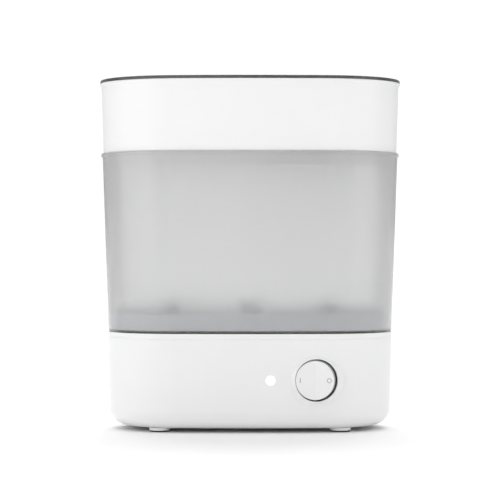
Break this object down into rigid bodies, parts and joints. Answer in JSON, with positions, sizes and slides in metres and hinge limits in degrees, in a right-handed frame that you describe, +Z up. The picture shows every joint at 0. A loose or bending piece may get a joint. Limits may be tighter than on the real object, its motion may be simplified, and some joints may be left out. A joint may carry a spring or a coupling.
{
  "type": "bottle sterilizer",
  "caption": "Countertop steam sterilizer for feeding bottles: oval heated base with round rocker switch, frosted bottle container with posts, white basket ring and lid.",
  "frame": {"origin": "centre of the oval footprint, on the surface that the feet stand on", "axes": "+Z up, -Y to the front with the switch, +X to the right of someone facing the front"},
  "size_m": [0.29, 0.16, 0.3353],
  "materials": {
    "shell_white": "white moulded polypropylene, fine satin",
    "frosted_clear": "frosted see-through polypropylene",
    "smoke_clear": "smoke-grey see-through polypropylene",
    "rack_grey": "blue-grey moulded polypropylene",
    "lens_white": "milky diffusing lens",
    "mark_grey": "pad-printed ink",
    "pad_black": "matt moulded rubber",
    "plate_steel": "polished stainless steel",
    "seal_silicone": "translucent silicone",
    "spreader_aluminium": "cast and machined",
    "element_sheath": "heat-tinted steel sheath",
    "zinc_steel": "zinc plated",
    "terminal_brass": "bare brass",
    "phenolic_black": "moulded phenolic",
    "block_white": "moulded nylon",
    "gland_grey": "moulded soft PVC",
    "board_green": "glass-epoxy board",
    "lead_brown": "PVC insulation",
    "lead_blue": "PVC insulation",
    "lead_white": "silicone insulation"
  },
  "bodies": {
    "base": {"base_housing": "shell_white", "base_deck": "shell_white", "plate_seal": "seal_silicone", "heating_plate": "plate_steel", "heat_spreader": "spreader_aluminium", "heating_element": "element_sheath", "clamp_ring": "zinc_steel", "clamp_ring_screws": "zinc_steel", "thermostat": "phenolic_black", "thermal_fuse": "terminal_brass", "fuse_clip": "zinc_steel", "switch_body": "phenolic_black", "switch_terminals": "terminal_brass", "indicator_lens": "lens_white", "indicator_board": "board_green", "indicator_lamp": "lens_white", "bottom_cover": "shell_white", "cover_screws": "zinc_steel", "deck_screws": "zinc_steel", "feet": "shell_white", "foot_pads": "pad_black", "cord_gland": "gland_grey", "cord_clamp": "block_white", "cord_clamp_screws": "zinc_steel", "terminal_block": "block_white", "live_lead": "lead_brown", "switched_lead": "lead_brown", "fuse_lead": "lead_white", "element_lead": "lead_white", "neutral_lead": "lead_blue", "indicator_lead": "lead_white"},
    "rocker": {"rocker": "shell_white", "rocker_marks": "mark_grey", "rocker_plunger": "block_white"},
    "contact_lever": {"contact_lever": "terminal_brass"},
    "large_basket": {"large_container": "frosted_clear", "bottle_rack": "rack_grey"},
    "small_basket": {"small_basket": "shell_white"},
    "lid": {"lid": "smoke_clear"}
  },
  "joints": [
    {"name": "container_lift", "type": "slide", "parent": "base", "child": "large_basket", "axis": [0, 0, 1], "range_m": [0, 0.15]},
    {"name": "basket_lift", "type": "slide", "parent": "large_basket", "child": "small_basket", "axis": [0, 0, 1], "range_m": [0, 0.1]},
    {"name": "lid_lift", "type": "slide", "parent": "small_basket", "child": "lid", "axis": [0, 0, 1], "range_m": [0, 0.08]},
    {"name": "rocker_swing", "type": "hinge", "parent": "base", "child": "rocker", "pos_m": [0.06137, -0.0599, 0.0502], "axis": [0, 0, 1], "range_deg": [0, 16]},
    {"name": "contact_swing", "type": "hinge", "parent": "base", "child": "contact_lever", "pos_m": [0.06061, -0.04893, 0.0502], "axis": [0, 0, 1], "range_deg": [-10, 0]}
  ],
  "couplings": [
    {"joint": "contact_swing", "follows": "rocker_swing", "ratio": -0.625}
  ]
}
